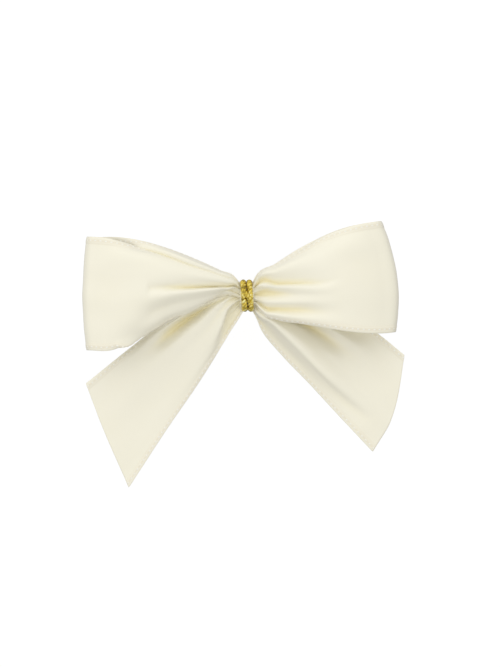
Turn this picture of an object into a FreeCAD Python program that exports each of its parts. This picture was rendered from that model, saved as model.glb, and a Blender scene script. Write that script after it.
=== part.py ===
import FreeCAD, Part
import math
import os
import Sketcher

# Pre-made gift bow. One satin ribbon laid in a figure of eight, gathered in the middle by two turns of
# metallic cord, with a foam adhesive pad and its release liner behind.
#
# Frame, in millimetres: the bow lies on its back. The origin is on the back face, under the middle of the
# tie. +X is the bow's right, +Y its top, +Z comes out of its front. Each loop and tail is drawn along its
# own +X and then turned about Z to the direction in which it leaves the tie.

doc = FreeCAD.newDocument("gift_bow")
V = FreeCAD.Vector
UP = V(0, 0, 1)

SIZES = {
    # ribbon
    "sheet_thick": 0.6,
    # cord tie
    "cord_wide": 2.1,
    "crossover_wide": 1.7,
    "twist_wide": 1.7,
    "tie_back": 1.15,
    "crossover_inset": 0.9,
    "crossover_clear": 0.1,
    "twist_inset": 0.35,
    "twist_clear": 0.05,
    "twist_lift": 0.2,
    # gathered middle, inside the tie
    "neck_wide": 7.0,
    "neck_thick": 6.0,
    "neck_flare": 1.5,
    "neck_reach": 6.0,
    "neck_clear": 0.15,
    "neck_edge_flat": 0.4,
    # gathers, which swivel about the middle of the tie
    "gather_start": 6.3,
    "gather_end": 9.0,
    "limb_start": 9.3,
    "loop_gather_low": 5.6,
    "loop_gather_high": 9.3,
    "tail_gather_low": 1.6,
    "tail_gather_high": 5.2,
    # loops
    "fold_round": 5.0,
    "fold_height": 9.6,
    "loop_trim_past": 4.0,
    "loop_strip_wide": 44.0,
    "left_loop_bearing": 178.9,
    "left_loop_reach": 56.6,
    "left_loop_front_round": 46.0,
    "left_loop_back_round": 180.0,
    "right_loop_bearing": 7.6,
    "right_loop_reach": 52.2,
    "right_loop_front_round": 42.0,
    "right_loop_back_round": 160.0,
    # tails
    "tail_top": 2.9,
    "tail_arch_round": 110.0,
    "tail_strip_wide": 48.0,
    "tail_strip_long": 72.0,
    "left_tail_bearing": -132.0,
    "right_tail_bearing": -39.0,
    # adhesive pad and liner
    "liner_thick": 0.15,
    "pad_long": 15.0,
    "pad_wide": 10.0,
    "pad_thick": 1.1,
    "pad_corner": 2.0,
    "tab_long": 3.5,
    "tab_wide": 4.5,
    "tab_overlap": 1.0,
}

# Outlines of the sheets seen from the front, each in its limb's own frame: the two sides run from the tie
# to the far end through these points, (along, across) the limb. Three points give an arc, more a smooth curve.
OUTLINES = {
    "left_loop": {"low": [(9.3, -8.4), (30.0, -16.6), (55.1, -19.4)],
                  "high": [(9.3, 1.2), (24.5, 9.0), (40.0, 18.0), (55.5, 19.4)]},
    "right_loop": {"low": [(9.3, -9.4), (27.0, -15.6), (48.8, -19.3)],
                   "high": [(9.3, 8.6), (27.0, 16.4), (49.3, 19.3)]},
    "left_tail": {"low": [(9.3, -6.8), (30.0, -15.2), (59.8, -21.3)],
                  "high": [(9.3, 3.4), (31.0, 7.3), (76.5, 14.0)]},
    "right_tail": {"low": [(9.3, -5.4), (25.0, -9.2), (67.6, -14.6)],
                   "high": [(9.3, 4.0), (28.0, 14.6), (55.0, 18.5)]},
}


def make_sheet():
    """The spreadsheet of driving dimensions, one row for each alias."""
    sheet = doc.addObject("Spreadsheet::Sheet", "Sizes")
    for row, (name, value) in enumerate(SIZES.items(), start=1):
        sheet.set(f"A{row}", name)
        sheet.set(f"B{row}", str(value))
        sheet.setAlias(f"B{row}", name)
    doc.recompute()
    return sheet


# The block that each outline is cut from, larger than any sheet, and how far its inner walls stand back.
TRIM_FAR = 95.0
TRIM_HALF_WIDE = 40.0
TRIM_BACK = 2.0
GATHER_LIMIT = 0.86         # the sine of the widest half angle that a gather's round face takes up

sizes = make_sheet()


def size(name):
    """A driving dimension, read back from the sheet."""
    return float(sizes.get(name))


# ---------------------------------------------------------------- helpers

def new_body(name):
    """An empty body whose Label is its node's name."""
    body = doc.addObject("PartDesign::Body", name)
    body.Label = name
    return body


def sketch_on(body, plane, name, lift="0"):
    """A sketch on one of the body's own origin planes, moved off it along its normal by an expression."""
    sketch = body.newObject("Sketcher::SketchObject", name)
    support = next(item for item in body.Origin.OriginFeatures if item.Role == plane)
    sketch.AttachmentSupport = [(support, "")]
    sketch.MapMode = "FlatFace"
    sketch.setExpression("AttachmentOffset.Base.z", lift)
    return sketch


def bind(sketch, constraint, formula):
    """Add a dimension to a sketch and drive it from the sheet."""
    index = sketch.addConstraint(constraint)
    sketch.setExpression(f"Constraints[{index}]", formula)


def pad(body, sketch, formula, symmetric=False):
    """Pad a sketch by a length that follows the sheet."""
    feature = body.newObject("PartDesign::Pad", f"{body.Name}_pad")
    feature.Profile = sketch
    feature.setExpression("Length", formula)
    if symmetric:
        feature.SideType = "Symmetric"
    doc.recompute()
    return feature


def turn_body(body, formula):
    """Turn a limb's body about the tie to its bearing."""
    body.Placement = FreeCAD.Placement(V(), FreeCAD.Rotation(UP, 1))
    body.setExpression("Placement.Rotation.Angle", formula)


def add_circle(sketch, along, across, formula, radius):
    """A circle whose diameter is driven."""
    ring = sketch.addGeometry(Part.Circle(V(along, across, 0), UP, radius), False)
    bind(sketch, Sketcher.Constraint("Diameter", ring, 2 * radius), formula)
    return ring


def add_box_lines(sketch, low, high):
    """Four lines round a rectangle, given by two opposite corners."""
    corners = [V(low[0], low[1], 0), V(high[0], low[1], 0), V(high[0], high[1], 0), V(low[0], high[1], 0)]
    for start, end in zip(corners, corners[1:] + corners[:1]):
        sketch.addGeometry(Part.LineSegment(start, end), False)


def add_round_box(sketch, half_long, half_wide, corner):
    """A rectangle with round corners, centred on the sketch's origin: arcs, and lines that join them."""
    inner_long, inner_wide = half_long - corner, half_wide - corner
    centres = [(inner_long, inner_wide), (-inner_long, inner_wide),
               (-inner_long, -inner_wide), (inner_long, -inner_wide)]
    arcs = []
    for quarter, (along, across) in enumerate(centres):
        start = quarter * math.pi / 2
        circle = Part.Circle(V(along, across, 0), UP, corner)
        arcs.append(Part.ArcOfCircle(circle, start, start + math.pi / 2))
    for arc, following in zip(arcs, arcs[1:] + arcs[:1]):
        sketch.addGeometry(arc, False)
        sketch.addGeometry(Part.LineSegment(arc.EndPoint, following.StartPoint), False)


def add_side(sketch, points):
    """One side of an outline: an arc through three points, or a smooth curve through more."""
    at = [V(along, across, 0) for along, across in points]
    if len(at) == 3:
        sketch.addGeometry(Part.Arc(at[0], at[1], at[2]), False)
        return
    curve = Part.BSplineCurve()
    curve.interpolate(at)
    sketch.addGeometry(curve, False)


def circles_meet(centre_1, radius_1, centre_2, radius_2, above):
    """Where two circles cross: the upper or the lower of the two points."""
    gap = centre_2 - centre_1
    apart = gap.Length
    along = (radius_1 ** 2 - radius_2 ** 2 + apart ** 2) / (2 * apart)
    side = math.sqrt(radius_1 ** 2 - along ** 2)
    foot = centre_1 + gap * (along / apart)
    step = V(-gap.y, gap.x, 0) * (side / apart)
    first, second = foot + step, foot - step
    upper, lower = (first, second) if first.y > second.y else (second, first)
    return upper if above else lower


def arc_between(centre, radius, start, end):
    """The arc of a circle from one point to another, anticlockwise."""
    angles = [math.atan2(point.y - centre.y, point.x - centre.x) for point in (start, end)]
    if angles[1] < angles[0]:
        angles[1] += 2 * math.pi
    return Part.ArcOfCircle(Part.Circle(centre, UP, radius), angles[0], angles[1])


def height_on(centre, radius, along, above):
    """The point of a circle at one distance along the limb."""
    rise = math.sqrt(radius ** 2 - (along - centre.x) ** 2)
    return V(along, centre.y + (rise if above else -rise), 0)


# ---------------------------------------------------------------- loops

def add_bent_strip(sketch, reach, front_round, back_round):
    """A loop seen from its side: a front arc, a tight fold and a back arc, tangent to each other, with
    the ribbon's thickness between the outer and the inner line, closed by a wall at the gather."""
    start, thick = size("limb_start"), size("sheet_thick")
    fold = size("fold_round")
    fold_at = V(reach - fold, size("fold_height"), 0)
    front_end = V(start, size("loop_gather_high"), 0)
    back_end = V(start, size("loop_gather_low"), 0)
    front_at = circles_meet(front_end, front_round, fold_at, front_round - fold, above=False)
    back_at = circles_meet(back_end, back_round, fold_at, back_round - fold, above=True)
    front_way = (fold_at - front_at).normalize()
    back_way = (fold_at - back_at).normalize()
    for inset in (0.0, thick):
        wall = start + inset
        front_low = height_on(front_at, front_round - inset, wall, above=True)
        back_low = height_on(back_at, back_round - inset, wall, above=False)
        front_far = front_at + front_way * (front_round - inset)
        back_far = back_at + back_way * (back_round - inset)
        sketch.addGeometry(arc_between(front_at, front_round - inset, front_far, front_low), False)
        sketch.addGeometry(arc_between(fold_at, fold - inset, back_far, front_far), False)
        sketch.addGeometry(arc_between(back_at, back_round - inset, back_low, back_far), False)
        sketch.addGeometry(Part.LineSegment(front_low, back_low), False)


def trim_to_outline(body, name, end_past=0.0):
    """Cut away what lies outside the limb's outline. A loop keeps its whole fold, so its outline runs
    past the end; a tail is cut off along the slanted line between its two far corners."""
    low, high = OUTLINES[name]["low"], OUTLINES[name]["high"]
    trim = sketch_on(body, "XY_Plane", f"{name}_trim")
    start = size("limb_start")
    add_box_lines(trim, (start - TRIM_BACK, -TRIM_HALF_WIDE), (TRIM_FAR, TRIM_HALF_WIDE))
    add_side(trim, low)
    add_side(trim, high)
    wall = start - TRIM_BACK / 2
    low_wall, high_wall = V(wall, low[0][1], 0), V(wall, high[0][1], 0)
    trim.addGeometry(Part.LineSegment(V(*low[0], 0), low_wall), False)
    trim.addGeometry(Part.LineSegment(V(*high[0], 0), high_wall), False)
    trim.addGeometry(Part.LineSegment(low_wall, high_wall), False)
    low_end, high_end = V(*low[-1], 0), V(*high[-1], 0)
    if end_past:
        past = max(low_end.x, high_end.x) + end_past
        low_past, high_past = V(past, low_end.y, 0), V(past, high_end.y, 0)
        trim.addGeometry(Part.LineSegment(low_end, low_past), False)
        trim.addGeometry(Part.LineSegment(high_end, high_past), False)
        low_end, high_end = low_past, high_past
    trim.addGeometry(Part.LineSegment(low_end, high_end), False)
    doc.recompute()
    before = body.Shape.Volume
    pocket = body.newObject("PartDesign::Pocket", f"{name}_outline")
    pocket.Profile = trim
    pocket.Type = "ThroughAll"
    pocket.SideType = "Symmetric"
    doc.recompute()
    if not 0.2 * before < body.Shape.Volume < 0.98 * before:
        raise RuntimeError(f"{name}: the outline was not cut")


def make_loop(name):
    """One loop of ribbon: a bent strip open at both sides, trimmed to its outline."""
    body = new_body(name)
    side = sketch_on(body, "XZ_Plane", f"{name}_side")
    add_bent_strip(side, size(f"{name}_reach"), size(f"{name}_front_round"), size(f"{name}_back_round"))
    pad(body, side, "Sizes.loop_strip_wide", symmetric=True)
    trim_to_outline(body, name, end_past=size("loop_trim_past"))
    turn_body(body, f"Sizes.{name}_bearing * 1 deg")
    return body


# ---------------------------------------------------------------- tails

def make_tail(name):
    """One tail: a shallow arched sheet, cut to its flared outline and slanted end."""
    body = new_body(name)
    arch = sketch_on(body, "YZ_Plane", f"{name}_arch", lift="Sizes.limb_start")
    outer, thick = size("tail_arch_round"), size("sheet_thick")
    centre = V(0, size("tail_top") - outer, 0)
    half_angle = math.asin(size("tail_strip_wide") / 2 / outer)
    ends = []
    for radius in (outer, outer - thick):
        circle = Part.Circle(centre, UP, radius)
        arc = Part.ArcOfCircle(circle, math.pi / 2 - half_angle, math.pi / 2 + half_angle)
        arch.addGeometry(arc, False)
        ends.append((arc.StartPoint, arc.EndPoint))
    for outer_end, inner_end in zip(ends[0], ends[1]):
        arch.addGeometry(Part.LineSegment(outer_end, inner_end), False)
    pad(body, arch, "Sizes.tail_strip_long")
    trim_to_outline(body, name)
    turn_body(body, f"Sizes.{name}_bearing * 1 deg")
    return body


# ---------------------------------------------------------------- gathers

def make_gather(name, limb, low, high):
    """The pleated root of a limb. Its inner face is round about the tie's own Z axis, so it swivels
    beside the tie, and its outer face is flat, where the limb bends."""
    body = new_body(name)
    start, end = size("gather_start"), size("gather_end")
    low_side, high_side = OUTLINES[limb]["low"][0][1], OUTLINES[limb]["high"][0][1]
    angles = []
    for side in (low_side, high_side):
        sine = side / size("limb_start")
        angles.append(math.asin(max(-GATHER_LIMIT, min(GATHER_LIMIT, sine))))
    plan = sketch_on(body, "XY_Plane", f"{name}_plan", lift=f"Sizes.{low}")
    inner = Part.ArcOfCircle(Part.Circle(V(0, 0, 0), UP, start), angles[0], angles[1])
    arc = plan.addGeometry(inner, False)
    low_corner, high_corner = V(end, low_side, 0), V(end, high_side, 0)
    plan.addGeometry(Part.LineSegment(inner.StartPoint, low_corner), False)
    plan.addGeometry(Part.LineSegment(low_corner, high_corner), False)
    plan.addGeometry(Part.LineSegment(high_corner, inner.EndPoint), False)
    bind(plan, Sketcher.Constraint("Radius", arc, start), "Sizes.gather_start")
    pad(body, plan, f"Sizes.{high} - Sizes.{low}")
    turn_body(body, f"Sizes.{limb}_bearing * 1 deg")
    return body


# ---------------------------------------------------------------- middle

NECK_MIDDLE = size("tie_back") + size("cord_wide") + size("neck_thick") / 2


def make_neck():
    """The gathered middle of the ribbon: a straight bundle inside the tie that flares at both ends."""
    body = new_body("ribbon_neck")
    tie_half = size("cord_wide") + size("neck_clear")
    corner = size("neck_thick") / 2 - size("neck_edge_flat")
    middle = sketch_on(body, "YZ_Plane", "neck_middle")
    add_round_box(middle, size("neck_wide") / 2, size("neck_thick") / 2, corner)
    middle.AttachmentOffset = FreeCAD.Placement(V(0, NECK_MIDDLE, 0), FreeCAD.Rotation())
    pad(body, middle, "2 * (Sizes.cord_wide + Sizes.neck_clear)", symmetric=True)
    flare = size("neck_flare")
    for side, word in ((-1, "left"), (1, "right")):
        sections = []
        for step, grow in ((tie_half, 0.0), (size("neck_reach"), flare)):
            ring = body.newObject("Sketcher::SketchObject", f"neck_{word}_{len(sections)}")
            support = next(item for item in body.Origin.OriginFeatures if item.Role == "YZ_Plane")
            ring.AttachmentSupport = [(support, "")]
            ring.MapMode = "FlatFace"
            ring.AttachmentOffset = FreeCAD.Placement(V(0, NECK_MIDDLE, side * step), FreeCAD.Rotation())
            add_round_box(ring, size("neck_wide") / 2 + grow, size("neck_thick") / 2, corner)
            sections.append(ring)
        loft = body.newObject("PartDesign::AdditiveLoft", f"neck_{word}")
        loft.Profile = sections[0]
        loft.Sections = [sections[1]]
        doc.recompute()
    before = body.Shape.Volume
    rim = sketch_on(body, "XY_Plane", "neck_rim")
    add_circle(rim, 0, 0, "2 * Sizes.neck_reach", size("neck_reach"))
    add_circle(rim, 0, 0, "6 * Sizes.neck_reach", 3 * size("neck_reach"))
    trim = body.newObject("PartDesign::Pocket", "neck_round_ends")
    trim.Profile = rim
    trim.Type = "ThroughAll"
    trim.SideType = "Symmetric"
    doc.recompute()
    if body.Shape.Volume > before - 1.0:
        raise RuntimeError("ribbon_neck: the ends were not rounded")
    return body


def make_turn(name, side):
    """One turn of cord round the neck, swept round a rectangle with round corners."""
    body = new_body(name)
    cord = size("cord_wide") / 2
    path = sketch_on(body, "YZ_Plane", f"{name}_path")
    path.AttachmentOffset = FreeCAD.Placement(V(0, NECK_MIDDLE, side * cord), FreeCAD.Rotation())
    path_corner = size("neck_thick") / 2 - size("neck_edge_flat") + cord
    add_round_box(path, size("neck_wide") / 2 + cord, size("neck_thick") / 2 + cord, path_corner)
    section = sketch_on(body, "XZ_Plane", f"{name}_section")
    add_circle(section, side * cord, NECK_MIDDLE - size("neck_thick") / 2 - cord, "Sizes.cord_wide", cord)
    sweep = body.newObject("PartDesign::AdditivePipe", f"{name}_sweep")
    sweep.Profile = section
    sweep.Spine = (path, [f"Edge{number}" for number in range(1, path.GeometryCount + 1)])
    doc.recompute()
    return body


def make_crossover():
    """The cord's third pass, lying slantwise over the front of both turns, with round ends."""
    body = new_body("tie_crossover")
    radius = size("crossover_wide") / 2
    inset = size("crossover_inset")
    half_long = size("neck_wide") / 2 - inset
    lie = size("tie_back") + 2 * size("cord_wide") + size("neck_thick")
    outline = sketch_on(body, "XY_Plane", "crossover_half")
    circle_1 = Part.Circle(V(-half_long + radius, 0, 0), UP, radius)
    circle_2 = Part.Circle(V(half_long - radius, 0, 0), UP, radius)
    outline.addGeometry(Part.ArcOfCircle(circle_1, math.pi / 2, math.pi), False)
    outline.addGeometry(Part.ArcOfCircle(circle_2, 0, math.pi / 2), False)
    top_line = Part.LineSegment(V(-half_long + radius, radius, 0), V(half_long - radius, radius, 0))
    outline.addGeometry(top_line, False)
    outline.addGeometry(Part.LineSegment(V(-half_long, 0, 0), V(half_long, 0, 0)), False)
    capsule = body.newObject("PartDesign::Revolution", "crossover_turned")
    capsule.Profile = outline
    capsule.ReferenceAxis = (outline, ["H_Axis"])
    capsule.Angle = 360
    doc.recompute()
    lean = math.degrees(math.atan2(2 * inset - size("neck_wide"), size("cord_wide") * 1.1))
    body.Placement = FreeCAD.Placement(V(0, 0, lie + size("crossover_clear")), FreeCAD.Rotation(UP, lean))
    return body


def make_twist():
    """The cord's two ends, twisted together behind the neck, left of the turns."""
    body = new_body("tie_twist")
    radius = size("twist_wide") / 2
    section = sketch_on(body, "YZ_Plane", "twist_section", lift="Sizes.twist_inset - Sizes.neck_reach")
    add_circle(section, 0, size("tie_back") + size("twist_lift") + radius, "Sizes.twist_wide", radius)
    pad(body, section, "Sizes.neck_reach - Sizes.twist_inset - Sizes.cord_wide - Sizes.twist_clear")
    return body


def make_pad_and_liner():
    """The foam adhesive pad, and its release liner with a pull tab at the upper left corner."""
    foam = new_body("adhesive_pad")
    plan = sketch_on(foam, "XY_Plane", "pad_plan", lift="Sizes.liner_thick")
    half_long, half_wide, corner = size("pad_long") / 2, size("pad_wide") / 2, size("pad_corner")
    add_round_box(plan, half_long, half_wide, corner)
    pad(foam, plan, "Sizes.pad_thick")
    liner = new_body("release_liner")
    plan = sketch_on(liner, "XY_Plane", "liner_plan")
    add_round_box(plan, half_long, half_wide, corner)
    pad(liner, plan, "Sizes.liner_thick")
    tab = sketch_on(liner, "XY_Plane", "liner_tab")
    overlap = size("tab_overlap")
    low_edge = half_wide - corner - size("tab_wide") + overlap
    add_box_lines(tab, (-half_long - size("tab_long"), low_edge), (-half_long + overlap, half_wide - corner))
    pad(liner, tab, "Sizes.liner_thick")
    return [foam, liner]


# ---------------------------------------------------------------- build

def build():
    """Every sub-part, in the order in which the bow is made."""
    made = [make_neck()]
    for name in ("left_loop", "right_loop"):
        made.append(make_gather(f"{name}_gather", name, "loop_gather_low", "loop_gather_high"))
        made.append(make_loop(name))
    for name in ("left_tail", "right_tail"):
        made.append(make_gather(f"{name}_gather", name, "tail_gather_low", "tail_gather_high"))
        made.append(make_tail(name))
    made.append(make_turn("tie_turn_left", -1))
    made.append(make_turn("tie_turn_right", 1))
    made.append(make_crossover())
    made.append(make_twist())
    made.extend(make_pad_and_liner())
    doc.recompute()
    return made


def check(made):
    """Stop if any object failed, or any sub-part is not one valid solid."""
    for item in doc.Objects:
        if {"Invalid", "Error"} & set(item.State):
            raise RuntimeError(f"{item.Label} failed: {item.State}")
    for body in made:
        shape = body.Shape
        if shape.isNull() or not shape.isValid() or len(shape.Solids) != 1:
            raise RuntimeError(f"{body.Label} is not one valid solid")


def export(made):
    """Write each sub-part to its own STEP file."""
    os.makedirs("parts", exist_ok=True)
    for body in made:
        body.Shape.exportStep(f"parts/{body.Label}.step")
        box = body.Shape.BoundBox
        print(f"{body.Label}: {body.Shape.Volume:.1f} mm3, X {box.XMin:.1f}..{box.XMax:.1f}, "
              f"Y {box.YMin:.1f}..{box.YMax:.1f}, Z {box.ZMin:.2f}..{box.ZMax:.2f}")


sub_parts = build()
check(sub_parts)
export(sub_parts)
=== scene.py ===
import math

import bpy
import numpy as np
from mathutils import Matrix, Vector


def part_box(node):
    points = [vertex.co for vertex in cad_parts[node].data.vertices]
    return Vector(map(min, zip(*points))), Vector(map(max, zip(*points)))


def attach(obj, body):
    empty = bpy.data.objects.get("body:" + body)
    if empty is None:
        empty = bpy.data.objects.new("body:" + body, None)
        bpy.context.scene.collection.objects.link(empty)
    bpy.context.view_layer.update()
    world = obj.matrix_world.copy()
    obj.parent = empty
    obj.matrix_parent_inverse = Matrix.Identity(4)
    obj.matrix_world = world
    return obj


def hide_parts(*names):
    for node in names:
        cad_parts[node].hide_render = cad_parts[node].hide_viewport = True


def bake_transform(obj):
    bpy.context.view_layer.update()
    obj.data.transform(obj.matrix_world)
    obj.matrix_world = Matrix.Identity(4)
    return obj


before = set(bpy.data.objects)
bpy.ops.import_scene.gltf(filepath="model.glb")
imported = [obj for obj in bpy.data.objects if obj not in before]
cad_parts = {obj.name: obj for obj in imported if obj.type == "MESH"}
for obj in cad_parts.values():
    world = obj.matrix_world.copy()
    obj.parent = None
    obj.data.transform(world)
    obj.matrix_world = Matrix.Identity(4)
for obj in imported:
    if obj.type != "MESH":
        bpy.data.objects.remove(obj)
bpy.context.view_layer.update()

MM = 0.001                  # lengths below are in millimetres until a mesh is made
RIBBON_WIDE = 38.0
RIBBON_THICK = 0.24
HEM_WIDE = 2.3
HEM_THICK = 0.46
BEAD_INSET = 1.25           # from the selvedge to the row of beads
BEAD_PITCH = 1.9
PLY_PITCH = 3.4             # one full twist of the gold cord

# ---------------------------------------------------------------- curves through knots


def through(knots, at):
    """A smooth curve through (place, value) knots, read at some places. Beyond the ends it stays level."""
    place = np.array([knot[0] for knot in knots], float)
    value = np.array([knot[1] for knot in knots], float)
    slope = np.gradient(value, place, axis=0)
    at = np.clip(np.asarray(at, float), place[0], place[-1])
    left = np.clip(np.searchsorted(place, at, side="right") - 1, 0, len(place) - 2)
    gap = place[left + 1] - place[left]
    part = (at - place[left]) / gap
    if value.ndim > 1:
        gap, part = gap[:, None], part[:, None]
    square, cube = part ** 2, part ** 3
    return ((2 * cube - 3 * square + 1) * value[left] + (cube - 2 * square + part) * gap * slope[left]
            + (3 * square - 2 * cube) * value[left + 1] + (cube - square) * gap * slope[left + 1])


def lengths_along(points):
    """How far along a row of points each one lies."""
    steps = np.linalg.norm(np.diff(points, axis=0), axis=1)
    return np.concatenate([[0.0], np.cumsum(steps)])


def evenly(points, count):
    """A smooth line through some points, with count points evenly spaced along it."""
    points = np.asarray(points, float)
    place = lengths_along(points)
    dense = through(list(zip(place, points)), np.linspace(0, place[-1], count * 6))
    along = lengths_along(dense)
    wanted = np.linspace(0, along[-1], count)
    return np.stack([np.interp(wanted, along, dense[:, axis]) for axis in range(points.shape[1])], axis=1)


def ease(value):
    """0 below 0, 1 above 1, smooth between."""
    value = np.clip(value, 0, 1)
    return value * value * (3 - 2 * value)


# ---------------------------------------------------------------- how the ribbon is folded
#
# Each loop and tail has a frame of its own: out along its bearing from the tie, across it, and up. A sheet
# is drawn by its fold lines, the ridges and valleys that run out from the tie. A fold line is where it lies
# across at each distance out, how far it lies below the crown of the sheet there, and its share of the
# spare depth, which takes up the ribbon's width where the bow is gathered narrower than the ribbon. The
# knots are (distance out, value), and a crown or a cut is a line of points.

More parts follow.
